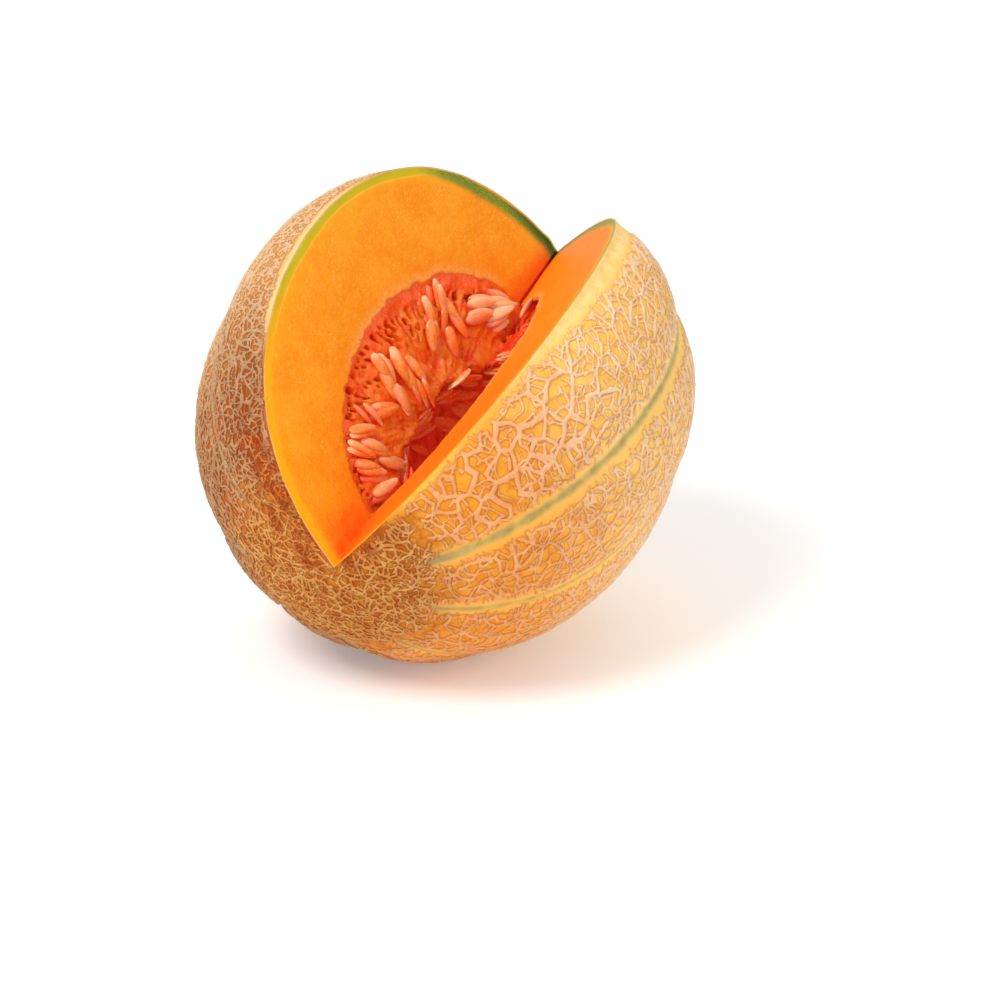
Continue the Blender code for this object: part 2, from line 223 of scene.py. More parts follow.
def region_values(points):
    """What varies over the skin, at points on it.

    From 0 to 1: how coarse the net is, how near the blossom end, how burnt, how tan, how near the tip.
    In mm: how far behind the left and the right cut.
    """
    azimuth = np.arctan2(points[:, 1], points[:, 0])
    t = points[:, 2] / HALF_LENGTH
    to_left = behind_cut(points, CUT_LEFT, LEFT_OUT)
    to_right = behind_cut(points, CUT_RIGHT, RIGHT_OUT)
    right_side = smooth(np.sin(-azimuth), -0.15, 0.45)
    coarse = right_side * (1 - smooth(t, 0.76, 0.9)) * smooth(t, 0.05, 0.42)
    coarse *= 1 - smooth(to_right, 26.0, 50.0)
    low = smooth(t, 0.1, 0.75)
    patch = 0.5 + 0.5 * noise(points, 9.0, 3) + 0.4 * noise(points, 3.5, 5)
    front = smooth(t + 0.02 * patch, 0.83, 0.97)
    tan = np.maximum(smooth(np.sin(azimuth), -0.35, 0.25), front)
    near_left = (1 - smooth(to_left, 4.0, 22.0)) * smooth(t, 0.66, 0.85)
    near_corner = (1 - smooth(np.minimum(to_left, to_right), 1.0, 9.0)) * smooth(t, 0.9, 0.96)
    brown = np.clip(near_left + near_corner, 0, 1) * smooth(patch, 0.1, 0.9)
    return coarse, low, brown, tan, front, to_left, to_right


def sphere_sites(count, seed):
    """Evenly spread, jittered points of the unit sphere."""
    rng = np.random.default_rng(seed)
    i = np.arange(count) + 0.5
    z = 1 - 2 * i / count
    turn = i * math.pi * (3 - math.sqrt(5))
    r = np.sqrt(1 - z * z)
    p = np.stack((r * np.cos(turn), r * np.sin(turn), z), axis=1)
    p += rng.normal(0.0, 0.36 * math.sqrt(4 * math.pi / count), p.shape)
    return p / np.linalg.norm(p, axis=1, keepdims=True)


def on_ball(points):
    """Points of the skin brought to a ball of nearly the fruit's own size, where the net is laid out."""
    q = points / np.array((EQUATOR, EQUATOR, HALF_LENGTH))
    return q / np.linalg.norm(q, axis=1, keepdims=True) * EQUATOR


def edge_draw(a, b, seed):
    """One random number from 0 to 1 for the line between two cells, the same from either side."""
    low, high = np.minimum(a, b), np.maximum(a, b)
    x = np.sin(low * 12.9898 + high * 78.233 + seed * 37.719) * 43758.5453
    return x - np.floor(x)


def net_lines(points, cell, seed, half_width, missing, room):
    """How far inside a line of the net each point is, in mm: over 0 on a line.

    missing is the share of the lines that are left out, and room is 0 where the skin is bare.
    """
    inside = np.full(len(points), FAR_OUTSIDE)
    here = np.flatnonzero(room > 0.001)
    ball = on_ball(points[here])
    half_width, missing, room = half_width[here], missing[here], room[here]
    count = int(4 * math.pi * EQUATOR**2 / (cell * cell * 0.8))
    sites = sphere_sites(count, seed) * EQUATOR
    tree = KDTree(count)
    for i, site in enumerate(sites):
        tree.insert(site, i)
    tree.balance()
    near = 5
    hits = (hit[1] for p in ball.tolist() for hit in tree.find_n(p, near))
    found = np.fromiter(hits, np.int64, len(ball) * near).reshape(-1, near)
    first = found[:, 0]
    a = sites[first]
    best = np.full(len(ball), FAR_OUTSIDE)
    for k in range(1, near):
        second = found[:, k]
        b = sites[second]
        apart = unit(b - a)
        distance = (((a + b) / 2 - ball) * apart).sum(axis=1)
        present = smooth(edge_draw(first, second, seed) - missing, 0.0, 0.1) * room
        width = half_width * (0.74 + 0.5 * edge_draw(first, second, seed + 3)) * present
        best = np.maximum(best, width - 0.9 * (1 - present) - np.maximum(distance, 0.0))
    inside[here] = best
    return inside


def teeth(along, across, key, reach):
    """Short ridges square to a bare band, which starts at across = 0, as mm inside one of them."""
    x = along / TOOTH_PITCH
    inside = np.full(len(along), FAR_OUTSIDE)
    for k in (-1, 0, 1):
        n = np.floor(x) + k
        draws = [edge_draw(n + 500, key, seed) for seed in (31, 32, 33, 34, 35)]
        middle = n + 0.5 + 0.8 * (draws[0] - 0.5) + 0.14 * across * (draws[3] - 0.5)
        one = TOOTH_HALF_WIDTH * (0.8 + 0.5 * draws[2]) - np.abs(x - middle) * TOOTH_PITCH
        start = 2.0 * draws[2]
        end = reach * np.where(draws[4] > 0.3, 0.3 + 0.8 * draws[1], -1.0)
        one = np.minimum(one, 0.45 * np.minimum(across - start, end - across))
        inside = np.maximum(inside, one)
    return inside


def net_at(points):
    """How high the net stands on the skin, from 0 to 1, and the numbers that the rind's shader reads."""
    coarse, low, brown, tan, front, to_left, to_right = region_values(points)
    suture, suture_side = suture_distance(points)
    n = noise(points, 5.0, 1)
    arc = MEAN_RADIUS * np.arcsin(np.clip(points[:, 2] / HALF_LENGTH, -1, 1))
    bare_right = (0.5 + 5.0 * smooth(points[:, 2], 45.0, -20.0)) * smooth(points[:, 2], 84.0, 74.0)
    broad = np.where(suture_side % 2 == 1, 1.2, 3.1)
    suture_bare = np.where(suture_side // 2 == BROAD_SUTURE, broad, 1.2) * (1 - 0.9 * tan)
    from_suture = suture + 1.1 * n - suture_bare
    from_right = to_right + 1.3 * n - bare_right
    from_left = to_left + 0.8 * n + 0.5 - 2.6 * smooth(points[:, 2], 60.0, 15.0)
    room = smooth(from_suture, 0.0, 2.6 - 1.8 * tan) * smooth(from_right, 0.0, 2.4)
    room *= smooth(from_left, 0.0, 1.2)
    room *= smooth(points[:, 2] / HALF_LENGTH, -1.0, -0.975)
    wobble = np.stack([noise(points, 6.5, s) for s in (11, 12, 13)], axis=1) * 1.15
    wobble += np.stack([noise(points, 2.2, s) for s in (14, 15, 16)], axis=1) * 0.26
    moved = points + wobble
    shifted = moved + 0.4 * wobble
    close = smooth(tan + 0.25 * n, 0.35, 0.65)
    few = np.full(len(points), FEW_MISSING)
    some = 0.02 + 0.24 * coarse
    thick = 0.44 + 0.30 * coarse
    thin = 0.34 + 0.08 * coarse
    ridge = net_lines(moved, WIDE_CELLS[0], 2, thick, few, room * (1 - close))
    ridge = np.maximum(ridge, net_lines(moved, CLOSE_CELLS[0], 3, 0.85 * thick, few, room * close))
    vein = net_lines(shifted, WIDE_CELLS[1], 6, thin, some, room * (1 - close))
    vein = np.maximum(vein, net_lines(shifted, CLOSE_CELLS[1], 7, 0.84 * thin, few, room * close))
    wavy = arc + 1.6 * wobble[:, 0]
    clear = smooth(np.minimum(np.minimum(from_suture, from_right), from_left), -0.3, 0.2)
    for across, key, reach in (
        (from_suture, suture_side, 6.0 - 3.0 * tan),
        (from_right, np.full(len(points), 41), 5.5),
        (from_left, np.full(len(points), 42), 5.0),
    ):
        vein = np.maximum(vein, teeth(wavy, across, key, reach) * clear - 0.9 * (1 - clear))
    ridge += 0.06 * noise(points, 1.1, 21)
    vein += 0.05 * noise(points, 1.1, 22)
    height = np.maximum(smooth(ridge, -0.05, 0.38), 0.8 * smooth(vein, -0.05, 0.28))
    values = {
        "ridge": ridge,
        "vein": vein,
        "brown": brown,
        "tan": tan,
        "front": front,
        "low": low,
        "suture": suture + 0.6 * (suture_side // 2 != BROAD_SUTURE),
        "rim": np.minimum(to_right - bare_right, 20.0),
        "left_rim": np.minimum(to_left, 20.0),
    }
    return height, values


def scar_sink(points):
    """How far the stem's scar and the blossom's scar change the skin's height."""
    ring = np.hypot(points[:, 0], points[:, 1])
    stem = -2.2 * np.exp(-((ring / 8.5) ** 2)) + 0.9 * np.exp(-(((ring - 9.0) / 2.2) ** 2))
    blossom = 0.45 * smooth(ring, 9.0, 6.5) - 0.35 * smooth(ring, 3.0, 1.0)
    return np.where(points[:, 2] < -60, stem, 0.0) + np.where(points[:, 2] > 60, blossom, 0.0)


def skin_lift(points, height):
    """How far the dressed skin stands out from the plain one, in mm."""
    return (height - 1.0) * NET_RAISE + 0.12 * noise(points, 9.0, 31) + scar_sink(points)


def strip(first, m, second, n):
    """Triangles between a row of m points that starts at index first and one of n points."""
    a = (np.arange(m - 1) + 0.5) / (m - 1)
    b = (np.arange(n - 1) + 0.5) / (n - 1)
    i = np.arange(m - 1)
    j = np.searchsorted(b, a)
    lower = np.stack((first + i, first + i + 1, second + j), axis=1)
    j = np.arange(n - 1)
    i = np.searchsorted(a, b, side="right")
    upper = np.stack((first + i, second + j + 1, second + j), axis=1)
    return np.concatenate((lower, upper))


def fan_grid(psi_from, psi_to, step, reach):
    """Rows from pole to pole about the hub, each with as many points as its length asks for."""
    rows = int(math.pi * reach / step)
    phi = (np.arange(rows + 1) / rows - 0.5) * math.pi
    counts = np.maximum(3, (reach * np.cos(phi) * (psi_to - psi_from) / step).astype(int) + 2)
    starts = np.concatenate(((0,), np.cumsum(counts)[:-1]))
    psi = np.concatenate([np.linspace(psi_from, psi_to, n) for n in counts])
    faces = [strip(starts[r], counts[r], starts[r + 1], counts[r + 1]) for r in range(rows)]
    return psi, np.repeat(phi, counts), np.concatenate(faces), starts, counts


def vertex_normals(points, faces):
    a, b, c = (points[faces[:, k]] for k in range(3))
    n = np.cross(b - a, c - a)
    total = np.zeros_like(points)
    for k in range(3):
        for axis in range(3):
            total[:, axis] += np.bincount(faces[:, k], n[:, axis], len(points))
    return total


def mesh_object(name, world, faces, material, normals=None, values=None, node=None):
    """One piece from arrays: points in metres, triangles, per-point numbers that the shader reads."""
    mesh = bpy.data.meshes.new(name)
    mesh.vertices.add(len(world))
    mesh.vertices.foreach_set("co", np.ascontiguousarray(world, np.float32).ravel())
    mesh.loops.add(faces.size)
    mesh.loops.foreach_set("vertex_index", np.ascontiguousarray(faces, np.int32).ravel())
    mesh.polygons.add(len(faces))
    mesh.polygons.foreach_set("loop_start", np.arange(0, faces.size, faces.shape[1], dtype=np.int32))
    mesh.update(calc_edges=True)
    mesh.shade_smooth()
    for key, data in (values or {}).items():
        data = np.asarray(data, np.float32)
        kind = "FLOAT_VECTOR" if data.ndim == 2 else "FLOAT"
        layer = mesh.attributes.new(key, kind, "POINT")
        layer.data.foreach_set("vector" if data.ndim == 2 else "value", data.ravel())
    if normals is not None:
        mesh.normals_split_custom_set_from_vertices(unit(normals).tolist())
    mesh.materials.append(material)
    obj = bpy.data.objects.new(name, mesh)
    bpy.context.scene.collection.objects.link(obj)
    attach(obj, "root")
    if node:
        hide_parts(node)
    return obj


class Nodes:
    """Short calls for building one material."""

    def __init__(self, name):
        self.material = bpy.data.materials.new(name)
        self.material.use_nodes = True
        self.tree = self.material.node_tree
        self.shader = self.tree.nodes["Principled BSDF"]
        self.rest = self.value("rest", "Vector")

    def put(self, node, socket, value):
        if isinstance(value, bpy.types.NodeSocket):
            self.tree.links.new(value, node.inputs[socket])
        else:
            node.inputs[socket].default_value = value

    def value(self, name, output="Fac"):
        """A number that the mesh keeps at each point."""
        node = self.tree.nodes.new("ShaderNodeAttribute")
        node.attribute_name = name
        return node.outputs[output]

    def values(self, *names):
        return [self.value(name) for name in names]

    def math(self, operation, a, b, clamp=False):
        node = self.tree.nodes.new("ShaderNodeMath")
        node.operation = operation
        node.use_clamp = clamp
        self.put(node, 0, a)
        self.put(node, 1, b)
        return node.outputs[0]

    def times(self, a, b):
        return self.math("MULTIPLY", a, b)

    def plus(self, a, b):
        return self.math("ADD", a, b)

    def minus(self, a, b, clamp=False):
        return self.math("SUBTRACT", a, b, clamp)

    def most(self, a, b):
        return self.math("MAXIMUM", a, b)

    def ramp(self, value, low, high, start=0.0, end=1.0):
        """From start to end, smoothly, as the value goes from low to high."""
        node = self.tree.nodes.new("ShaderNodeMapRange")
        node.interpolation_type = "SMOOTHSTEP"
        self.put(node, "Value", value)
        self.put(node, "From Min", low)
        self.put(node, "From Max", high)
        self.put(node, "To Min", start)
        self.put(node, "To Max", end)
        return node.outputs["Result"]

    def fall(self, value, low, high):
        return self.ramp(value, low, high, 1.0, 0.0)

    def noise(self, scale, detail=2.0, rough=0.5, stretch=None):
        """Noise over the fruit's own millimetres; scale is in bumps per millimetre."""
        vector = self.rest
        if stretch:
            scaled = self.tree.nodes.new("ShaderNodeVectorMath")
            scaled.operation = "MULTIPLY"
            self.put(scaled, 0, vector)
            scaled.inputs[1].default_value = stretch
            vector = scaled.outputs[0]
        node = self.tree.nodes.new("ShaderNodeTexNoise")
        self.put(node, "Vector", vector)
        self.put(node, "Scale", scale)
        self.put(node, "Detail", detail)
        self.put(node, "Roughness", rough)
        return node.outputs["Fac"]

    def mix(self, factor, a, b):
        """A blend of two colours, each a socket or a tuple as srgb takes it."""
        node = self.tree.nodes.new("ShaderNodeMix")
        node.data_type = "RGBA"
        self.put(node, 0, factor)
        for socket, colour in ((6, a), (7, b)):
            if isinstance(colour, tuple):
                colour = (*srgb(*colour), 1.0)
            self.put(node, socket, colour)
        return node.outputs[2]

    def bump(self, height, distance, strength=1.0, normal=None):
        node = self.tree.nodes.new("ShaderNodeBump")
        self.put(node, "Height", height)
        self.put(node, "Distance", distance)
        self.put(node, "Strength", strength)
        if normal is not None:
            self.put(node, "Normal", normal)
        return node.outputs["Normal"]

    def painted_glow(self, colour, strength):
        """Painted light: a little light of its own, which lifts the shade inside the cut and stands in for
        light that comes through wet flesh from behind.
        """
        self.put(self.shader, "Emission Color", colour)
        self.shader.inputs["Emission Strength"].default_value = strength

    def finish(self, colour, roughness, normal=None, **constants):
        self.put(self.shader, "Base Color", colour)
        self.put(self.shader, "Roughness", roughness)
        if normal is not None:
            self.put(self.shader, "Normal", normal)
        for key, value in constants.items():
            self.shader.inputs[key.replace("_", " ")].default_value = value
        return self.material


def srgb(r, g, b):
    """A colour given as it looks on the screen, 0 to 255, in the linear values that nodes take."""
    return tuple((c / 255 / 12.92) if c <= 10 else ((c / 255 + 0.055) / 1.055) ** 2.4 for c in (r, g, b))


def rind_material():
    m = Nodes("netted_rind")
    ridge, vein, suture, rim = m.values("ridge", "vein", "suture", "rim")
    brown, tan, low, front = m.values("brown", "tan", "low", "front")
    wide = m.noise(0.05, 3.0)
    patch = m.noise(0.22, 3.0, 0.6)
    grain = m.noise(1.6, 4.0, 0.65)
    fine = m.noise(4.0, 3.0, 0.6)

    half = m.ramp(patch, 0.33, 0.67)
    # Yellow floors on one side, from pale at the stem end to orange, and on the other side tan to umber
    pale_floor = m.mix(half, (250, 192, 86), (255, 206, 112))
    deep_floor = m.mix(half, (232, 142, 32), (240, 162, 50))
    yellow = m.mix(low, pale_floor, deep_floor)
    pale_umber = m.mix(half, (218, 148, 70), (232, 170, 92))
    deep_umber = m.mix(half, (148, 64, 14), (176, 90, 30))
    deep_umber = m.mix(m.ramp(wide, 0.46, 0.62, 0.0, 0.7), deep_umber, (200, 86, 18))
    umber = m.mix(low, pale_umber, deep_umber)
    umber = m.mix(front, umber, m.mix(half, (176, 82, 14), (206, 136, 40)))
    floor = m.mix(tan, yellow, umber)
    # Beside a suture the bare skin is pale yellow, and along its middle grey-green
    bare = m.times(m.fall(suture, 2.0, 6.5), m.ramp(tan, 0.0, 1.0, 0.8, 0.15))
    beside = m.mix(low, (255, 208, 122), (246, 184, 84))
    floor = m.mix(bare, floor, m.mix(tan, beside, (204, 160, 92)))
    wander = m.plus(suture, m.ramp(m.noise(0.16, 2.0), 0.3, 0.7, -0.4, 0.4))
    wander = m.plus(wander, m.ramp(tan, 0.0, 1.0, 0.0, 0.2))
    olive = m.mix(tan, (150, 140, 84), (190, 160, 108))
    green = m.mix(m.ramp(patch, 0.3, 0.7), olive, m.mix(tan, (190, 172, 108), (206, 178, 128)))
    floor = m.mix(m.ramp(wander, 0.0, 2.5, 0.85, 0.0), floor, green)
    seam = m.times(m.ramp(suture, 0.7, 1.6, 0.9, 0.0), front)
    floor = m.mix(seam, floor, (112, 90, 32))
    # The bare bands along the cuts are pale yellow
    band = m.fall(m.plus(rim, m.ramp(patch, 0.3, 0.7, -1.2, 1.2)), -1.0, 2.6)
    band = m.times(band, m.minus(1.0, tan))
    light = m.mix(half, (252, 206, 118), (255, 228, 158))
    light = m.mix(m.ramp(grain, 0.3, 0.7, 0.0, 0.5), light, (248, 196, 104))
    light = m.mix(m.ramp(low, 0.2, 0.9), light, (252, 192, 88))
    floor = m.mix(m.times(band, 0.92), floor, light)
    rim_left = m.fall(m.value("left_rim"), 1.2, 4.2)
    rim_left = m.times(rim_left, m.ramp(low, 0.4, 0.9, 0.9, 0.1))
    floor = m.mix(rim_left, floor, (255, 210, 144))
    foot = m.most(m.ramp(ridge, -0.6, -0.02), m.ramp(vein, -0.4, -0.02, 0.0, 0.85))
    shadow = m.mix(low, (230, 148, 52), (204, 108, 20))
    shadow = m.mix(tan, shadow, m.mix(low, (184, 108, 44), (124, 54, 10)))
    shadow = m.mix(front, shadow, (140, 62, 12))
    floor = m.mix(m.times(foot, 0.6), floor, shadow)

    top = m.mix(half, (255, 208, 160), (255, 222, 184))
    top = m.mix(low, top, m.mix(half, (240, 164, 102), (248, 182, 126)))
    bark = m.mix(half, (182, 136, 92), (202, 158, 118))
    bark = m.mix(low, (238, 198, 154), bark)
    bark = m.mix(front, bark, m.mix(half, (214, 142, 68), (232, 170, 102)))
    top = m.mix(tan, top, bark)
    top = m.mix(m.ramp(grain, 0.45, 0.75, 0.0, 0.3), top, m.mix(tan, (230, 146, 86), (160, 100, 54)))
    crease = m.most(m.ramp(ridge, 0.45, 0.9), m.ramp(vein, 0.35, 0.6))
    top = m.mix(m.times(crease, 0.3), top, m.mix(tan, (232, 150, 96), (172, 114, 66)))
    on_line = m.most(m.ramp(ridge, -0.02, 0.12), m.ramp(vein, -0.02, 0.1))
    colour = m.mix(on_line, floor, top)
    # On the tan side a grey-green line lies over each suture
    over_suture = m.times(m.ramp(wander, 0.3, 1.9, 0.72, 0.0), tan)
    colour = m.mix(over_suture, colour, (182, 166, 118))
    burnt = m.mix(m.ramp(grain, 0.35, 0.62), (90, 28, 8), (196, 74, 12))
    burnt_top = m.mix(m.ramp(patch, 0.4, 0.6), (152, 64, 18), (214, 122, 46))
    colour = m.mix(m.times(brown, 0.92), colour, m.mix(on_line, burnt, burnt_top))

    rough_top = m.plus(m.times(on_line, 0.9), 0.12)
    relief = m.times(m.ramp(grain, 0.2, 0.8), rough_top)
    relief = m.plus(relief, m.times(fine, 0.25))
    normal = m.bump(relief, 0.00022, 0.9)
    edge = m.most(m.ramp(ridge, -0.05, 0.3), m.ramp(vein, -0.05, 0.25, 0.0, 0.8))
    normal = m.bump(edge, 0.0003, 0.4, normal)
    rough = m.plus(m.ramp(on_line, 0.0, 1.0, 0.50, 0.82), m.ramp(grain, 0.3, 0.7, -0.05, 0.06))
    return m.finish(
        colour,
        rough,
        normal,
        Specular_IOR_Level=0.1,
        Subsurface_Weight=0.06,
        Subsurface_Scale=0.001,
    )


def flesh_material():
    m = Nodes("flesh")
    deep, hole, apex = m.values("skin_mm", "hole_mm", "apex_mm")
    green_by, dark, front, right = m.values("green", "dark", "front", "right")
    wide = m.noise(0.06, 3.0)
    cloud = m.noise(0.25, 4.0, 0.6)
    fleck = m.noise(1.3, 4.0, 0.7)
    grain = m.noise(3.2, 3.0, 0.65)
    thinner = m.ramp(right, 0.0, 1.0, 1.0, 1.35)
    at = m.plus(m.times(deep, thinner), m.ramp(wide, 0.35, 0.65, -0.25, 0.25))

    orange = m.mix(m.ramp(wide, 0.38, 0.62), (250, 150, 12), (252, 162, 24))
    orange = m.mix(m.ramp(cloud, 0.45, 0.72, 0.0, 0.4), orange, (255, 174, 48))
    orange = m.mix(m.ramp(fleck, 0.52, 0.68, 0.0, 0.6), orange, (255, 194, 96))
    orange = m.mix(m.ramp(grain, 0.5, 0.8, 0.0, 0.3), orange, (248, 122, 10))
    # Painted shade: the right cut face is painted deeper orange than the left, most towards the blossom end,
    # for how light falls on it
    orange = m.mix(m.times(right, 0.7), orange, (242, 122, 12))
    right_front = m.minus(right, green_by, clamp=True)
    orange = m.mix(m.times(right_front, 0.7), orange, (240, 104, 10))
    red = m.mix(m.ramp(cloud, 0.35, 0.65), (246, 84, 12), (255, 112, 20))
    orange = m.mix(m.times(m.fall(hole, 0.0, 11.0), 0.42), orange, (255, 132, 20))
    orange = m.mix(m.times(m.fall(hole, 0.0, 1.6), 0.6), orange, red)
    orange = m.mix(m.times(front, 0.9), orange, red)
    # Towards the stem the left face reddens beside the line where the cuts meet
    near_crease = m.times(m.fall(apex, 0.5, 10.0), m.minus(green_by, right, clamp=True))
    orange = m.mix(m.times(near_crease, 0.75), orange, (240, 74, 14))
    yellow = m.mix(m.ramp(cloud, 0.3, 0.7), (255, 166, 14), (255, 178, 34))
    # A pale halo lies round the pulp's upper edge
    halo = m.times(m.ramp(hole, 0.6, 1.4), m.fall(hole, 1.6, 5.0))
    halo = m.times(halo, m.ramp(green_by, 0.25, 0.6, 0.0, 0.6))
    halo = m.times(halo, m.times(m.ramp(fleck, 0.35, 0.6), m.ramp(apex, 5.0, 14.0)))
    orange = m.mix(halo, orange, (255, 188, 112))
    # The yellow band is lost where the green is dark, and half painted out on the right cut face as painted
    # shade
    plain = m.minus(1.0, m.most(dark, m.times(right, 0.5)), clamp=True)
    colour = m.mix(m.times(m.fall(at, 2.2, 6.5), plain), orange, yellow)
    # A yellow band with a pale line inside it, which is lost where the green is dark, and half lost on the
    # right cut face as painted shade
    pale = m.mix(m.ramp(green_by, 0.0, 0.55), (255, 178, 20), (232, 180, 22))
    colour = m.mix(m.times(m.fall(at, 2.6, 3.4), plain), colour, pale)
    line = m.times(m.ramp(at, 2.7, 3.1), m.fall(at, 3.1, 3.5))
    line = m.times(line, m.ramp(green_by, 0.05, 0.35, 0.15, 0.55))
    colour = m.mix(m.times(line, plain), colour, (255, 206, 96))
    # The green under the skin: yellow-green, and dark towards the stem, where it lies deeper
    leaf = m.mix(m.ramp(green_by, 0.15, 0.6), (228, 176, 14), (196, 188, 32))
    mottle = m.mix(m.ramp(dark, 0.0, 0.3), leaf, (104, 138, 34))
    leaf = m.mix(m.ramp(cloud, 0.45, 0.65, 0.0, 0.6), leaf, mottle)
    mottle = m.mix(m.ramp(fleck, 0.4, 0.7), (112, 132, 36), (158, 160, 54))
    leaf = m.mix(m.ramp(dark, 0.02, 0.4), leaf, mottle)
    leaf = m.mix(m.ramp(dark, 0.75, 0.95), leaf, (56, 80, 18))
    # Painted shade: on the right cut face the green under the skin is painted darker and greyer
    leaf = m.mix(m.times(right, 0.7), leaf, (150, 146, 66))
    inwards = m.minus(at, m.ramp(dark, 0.0, 0.5, 2.3, 5.0))
    outwards = m.minus(at, m.ramp(dark, 0.0, 1.0, 0.2, 0.9))
    band = m.times(m.fall(inwards, -1.6, 2.0), m.ramp(green_by, 0.02, 0.3))
    colour = m.mix(m.times(m.fall(at, 0.6, 3.2), dark), colour, (236, 158, 18))
    colour = m.mix(m.times(band, m.ramp(outwards, -0.4, 0.5)), colour, leaf)
    # Painted shade along the line where the two cuts meet: near black by the skin and deep red further in
    crease = m.times(m.fall(apex, 0.5, 1.3), m.ramp(green_by, 0.45, 0.55))
    crease_shade = m.mix(m.ramp(deep, 4.0, 9.0), (30, 30, 6), (190, 12, 16))
    colour = m.mix(m.times(crease, 0.95), colour, crease_shade)
    skin = m.mix(m.ramp(grain, 0.3, 0.7), (240, 200, 140), (222, 172, 108))
    colour = m.mix(m.fall(deep, 0.35, 0.6), colour, skin)

    relief = m.plus(m.times(fleck, 0.6), m.times(grain, 0.5))
    normal = m.bump(relief, 0.00022, 0.8)
    normal = m.bump(m.noise(0.55, 3.0, 0.55), 0.0008, 0.35, normal)
    rough = m.ramp(fleck, 0.3, 0.7, 0.42, 0.56)
    return m.finish(
        colour,
        rough,
        normal,
        Specular_IOR_Level=0.1,
        Subsurface_Weight=0.35,
        Subsurface_Radius=(1.0, 0.42, 0.12),
        Subsurface_Scale=0.0035,
    )


def wall_material():
    m = Nodes("cavity_wall")
    cloud = m.noise(0.3, 4.0, 0.6)
    streak = m.noise(0.55, 3.0, 0.6, stretch=(0.5, 0.5, 2.2))
    colour = m.mix(m.ramp(cloud, 0.3, 0.7), (228, 56, 36), (240, 84, 48))
    colour = m.mix(m.ramp(streak, 0.5, 0.66, 0.0, 0.85), colour, (140, 18, 14))
    # Painted light: the cavity wall glows a little, to lift the shade in the gaps where it shows
    m.painted_glow(colour, 0.12)
    normal = m.bump(streak, 0.0008, 0.8)
    return m.finish(
        colour,
        0.3,
        normal,
        Subsurface_Weight=0.3,
        Subsurface_Radius=(1.0, 0.25, 0.08),
        Subsurface_Scale=0.003,
    )


def pulp_material():
    m = Nodes("wet_pulp")
    recess_shade, hollow, border = m.values("recess_shade", "hollow", "border")
    cloud = m.noise(0.32, 4.0, 0.6)
    fibre = m.noise(1.5, 4.0, 0.65)
    colour = m.mix(m.ramp(cloud, 0.32, 0.62), (250, 76, 14), (255, 130, 26))
    colour = m.mix(m.times(border, 0.7), colour, (250, 76, 16))
    colour = m.mix(m.ramp(fibre, 0.5, 0.72, 0.0, 0.6), colour, (255, 142, 58))
    colour = m.mix(m.ramp(m.noise(0.7, 3.0), 0.60, 0.74, 0.0, 0.6), colour, (255, 172, 96))
    # Painted shade: the pulp is painted deep red where it lies further back behind the cuts
    colour = m.mix(m.times(recess_shade, 0.8), colour, (226, 28, 10))
    bed = m.mix(m.ramp(cloud, 0.3, 0.7), (232, 70, 40), (250, 112, 64))
    colour = m.mix(m.times(hollow, 0.9), colour, bed)
    # Painted light: the pulp glows a little, to lift the shade inside the cut
    m.painted_glow(colour, 0.07)
    normal = m.bump(fibre, 0.0005, 0.7)
    return m.finish(
        colour,
        m.ramp(fibre, 0.3, 0.7, 0.2, 0.38),
        normal,
        Specular_IOR_Level=0.35,
        Subsurface_Weight=0.7,
        Subsurface_Radius=(1.0, 0.3, 0.1),
        Subsurface_Scale=0.006,
        Coat_Weight=0.2,
        Coat_Roughness=0.1,
    )


def seed_material():
    m = Nodes("melon_seed")
    tint_and_painted_shade, edge, end, pale = m.values("tint_and_painted_shade", "edge", "end", "pale")
    grain = m.noise(0.9, 3.0, 0.6)
    colour = m.mix(m.ramp(grain, 0.35, 0.65), (255, 134, 48), (255, 168, 82))
    colour = m.mix(m.ramp(end, 0.3, 0.95, 0.0, 0.6), colour, (255, 214, 164))
    colour = m.mix(m.ramp(edge, 0.5, 1.0, 0.0, 0.75), colour, (252, 96, 26))
    # Painted light: seeds towards the stem end are painted paler, where light falls on them, and a few
    # others are paler at random
    colour = m.mix(m.times(pale, 0.8), colour, (255, 206, 158))
    # Deeper orange on the seeds' lower parts, where they sink into the pulp: partly pulp that covers them,
    # partly painted shade; each seed also gets a random deeper tint
    colour = m.mix(m.times(tint_and_painted_shade, 0.9), colour, (250, 76, 22))
    # Painted light: the seeds glow a little, to lift the shade inside the cut
    m.painted_glow(colour, 0.06)
    normal = m.bump(m.noise(2.2, 2.0), 0.00012, 0.6)
    return m.finish(
        colour,
        m.ramp(grain, 0.3, 0.7, 0.16, 0.3),
        normal,
        Subsurface_Weight=0.5,
        Subsurface_Radius=(1.0, 0.4, 0.15),
        Subsurface_Scale=0.003,
        Coat_Weight=0.5,
        Coat_Roughness=0.08,
    )


def rind(material):
    """The netted skin in quarters that share their edges' normals."""
    turns = np.linspace(CUT_LEFT, 2 * math.pi + CUT_RIGHT, 5)
    made = []
    for start, end in zip(turns[:-1], turns[1:]):
        psi, phi, faces, starts, counts = fan_grid(start, end, RIND_STEP, MEAN_RADIUS)
        points = skin_from_hub(hub_directions(psi, phi))
        height, values = net_at(points)
        lift = skin_lift(points, height)
        outward = skin_normals(points)
        for edge, away in ((turns[0], LEFT_OUT), (turns[-1], RIGHT_OUT)):
            on_edge = np.abs(psi - edge) < 1e-9
            flat = outward - (outward @ away)[:, None] * away
            outward = np.where(on_edge[:, None], unit(flat), outward)
        values["rest"] = points
        world = to_world(points + outward * lift[:, None])
        world[:, 2] = np.maximum(world[:, 2], 0.0)
        made.append([world, faces, vertex_normals(world, faces), starts, counts, values])
    for one, other in zip(made[:-1], made[1:]):
        last = one[3] + one[4] - 1
        total = one[2][last] + other[2][other[3]]
        one[2][last] = total
        other[2][other[3]] = total
    for number, (world, faces, normals, _, _, values) in enumerate(made, 1):
        mesh_object(f"rind_{number}", world, faces, material, normals, values, "melon_body")


